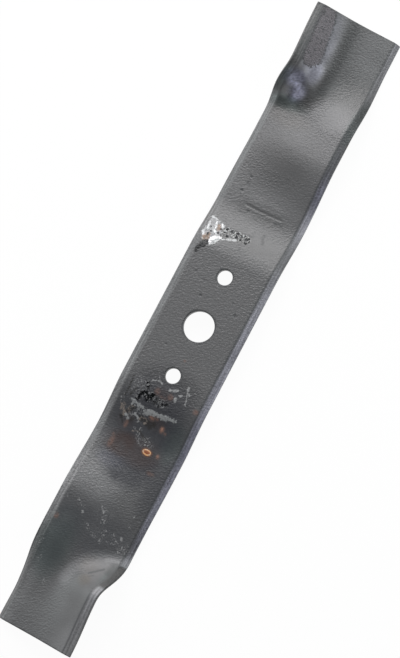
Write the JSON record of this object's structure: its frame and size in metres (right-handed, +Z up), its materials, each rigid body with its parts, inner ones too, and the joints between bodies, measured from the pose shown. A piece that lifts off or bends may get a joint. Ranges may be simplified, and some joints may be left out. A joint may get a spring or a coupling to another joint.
{
  "type": "rotary mower blade",
  "caption": "Formed flat steel mower blade with a drilled flat hub, bevelled edges, twisted arms and lifted trailing wings, for cutting grass on a vertical spindle.",
  "frame": {"origin": "on the axis of the centre bore, halfway through the thickness of the hub", "axes": "+X along the blade, +Y across it towards the trailing edge of the +X arm, +Z up along the bore, out of the hub's top face"},
  "size_m": [0.46, 0.0642, 0.0284],
  "materials": {
    "blade": "worn dark grey coating on steel, with chipped and rusted places"
  },
  "bodies": {
    "root": {"blade": "blade"}
  },
  "joints": []
}
